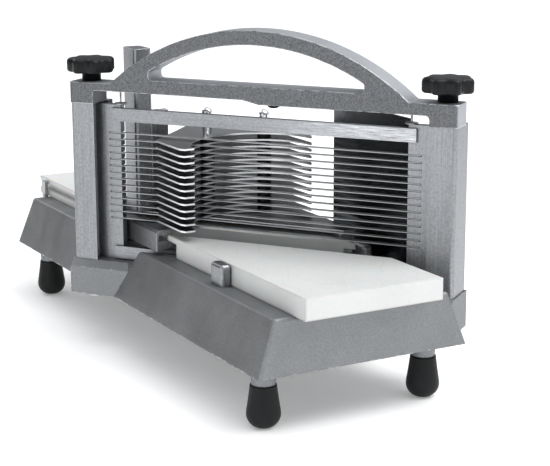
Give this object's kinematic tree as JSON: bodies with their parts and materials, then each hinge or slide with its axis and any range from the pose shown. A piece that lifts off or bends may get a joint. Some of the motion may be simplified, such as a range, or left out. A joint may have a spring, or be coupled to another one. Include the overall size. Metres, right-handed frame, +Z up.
{
  "type": "tomato slicer",
  "caption": "Countertop tomato slicer: a plate pusher slides along a long base and drives a tomato through horizontal blades held in a diagonal frame under an arched handle.",
  "frame": {"origin": "on the surface the feet stand on, below the centre of the whole object's box", "axes": "+X right across the base, -Y the end where slices leave, +Y the pusher end, +Z up"},
  "size_m": [0.1984, 0.44, 0.235],
  "materials": {
    "cast_aluminium": "fine sand-cast, satin",
    "handle_aluminium": "fine sand-cast, polished edges",
    "machined_aluminium": "brushed",
    "white_board": "satin white polyethylene",
    "blade_steel": "ground",
    "plate_aluminium": "rolled sheet, satin",
    "guard_steel": "smooth, mirror-like",
    "fastener_steel": "zinc-bright",
    "nut_chrome": "polished",
    "knob_black": "moulded, satin",
    "spacer_black": "moulded",
    "foot_rubber": "moulded, matte",
    "insert_brass": "turned"
  },
  "bodies": {
    "base": {"base_casting": "cast_aluminium", "rubber_feet": "foot_rubber", "left_post": "machined_aluminium", "right_post": "machined_aluminium", "post_bolts": "fastener_steel", "knob_studs": "fastener_steel", "left_blade_rail": "machined_aluminium", "right_blade_rail": "machined_aluminium", "top_blade_bar": "machined_aluminium", "bottom_blade_bar": "machined_aluminium", "bar_screws": "fastener_steel", "blade_pins": "fastener_steel", "blade_01": "blade_steel", "blade_02": "blade_steel", "blade_03": "blade_steel", "blade_04": "blade_steel", "blade_05": "blade_steel", "blade_06": "blade_steel", "blade_07": "blade_steel", "blade_08": "blade_steel", "blade_09": "blade_steel", "blade_10": "blade_steel", "blade_11": "blade_steel", "blade_12": "blade_steel", "blade_13": "blade_steel", "blade_14": "blade_steel", "front_board": "white_board", "rear_board": "white_board", "deck_screws": "fastener_steel", "board_lugs": "machined_aluminium", "rear_stop_pins": "fastener_steel", "side_guard": "guard_steel"},
    "pusher": {"pusher_base_plate": "plate_aluminium", "foot_screws": "fastener_steel", "plate_spacers": "spacer_black", "tie_rods": "fastener_steel", "rod_ferrules": "nut_chrome", "cap_nuts": "nut_chrome", "pusher_grip": "machined_aluminium", "left_guide_foot": "machined_aluminium", "right_guide_foot": "machined_aluminium", "pusher_plate_01": "plate_aluminium", "pusher_plate_02": "plate_aluminium", "pusher_plate_03": "plate_aluminium", "pusher_plate_04": "plate_aluminium", "pusher_plate_05": "plate_aluminium", "pusher_plate_06": "plate_aluminium", "pusher_plate_07": "plate_aluminium", "pusher_plate_08": "plate_aluminium", "pusher_plate_09": "plate_aluminium", "pusher_plate_10": "plate_aluminium", "pusher_plate_11": "plate_aluminium", "pusher_plate_12": "plate_aluminium", "pusher_plate_13": "plate_aluminium"},
    "handle": {"top_handle": "handle_aluminium", "hold_down_buttons": "fastener_steel"},
    "left_insert": {"left_knob_insert": "insert_brass"},
    "left_knob": {"left_knob": "knob_black"},
    "right_insert": {"right_knob_insert": "insert_brass"},
    "right_knob": {"right_knob": "knob_black"}
  },
  "joints": [
    {"name": "pusher_slide", "type": "slide", "parent": "base", "child": "pusher", "axis": [0, 1, 0], "range_m": [-0.008, 0.12]},
    {"name": "handle_lift", "type": "slide", "parent": "base", "child": "handle", "axis": [0, 0, 1], "range_m": [0, 0.05]},
    {"name": "left_knob_rise", "type": "slide", "parent": "handle", "child": "left_insert", "axis": [0, 0, 1], "range_m": [0, 0.0125]},
    {"name": "left_knob_turn", "type": "hinge", "parent": "left_insert", "child": "left_knob", "pos_m": [-0.07773, 0.03758, 0.2], "axis": [0, 0, 1], "range_deg": [0, 3600]},
    {"name": "right_knob_rise", "type": "slide", "parent": "handle", "child": "right_insert", "axis": [0, 0, 1], "range_m": [0, 0.0125]},
    {"name": "right_knob_turn", "type": "hinge", "parent": "right_insert", "child": "right_knob", "pos_m": [0.08086, -0.17597, 0.2], "axis": [0, 0, 1], "range_deg": [0, 3600]}
  ],
  "couplings": [
    {"joint": "left_knob_rise", "follows": "left_knob_turn", "m_per_rad": 0.00019894},
    {"joint": "right_knob_rise", "follows": "right_knob_turn", "m_per_rad": 0.00019894}
  ]
}
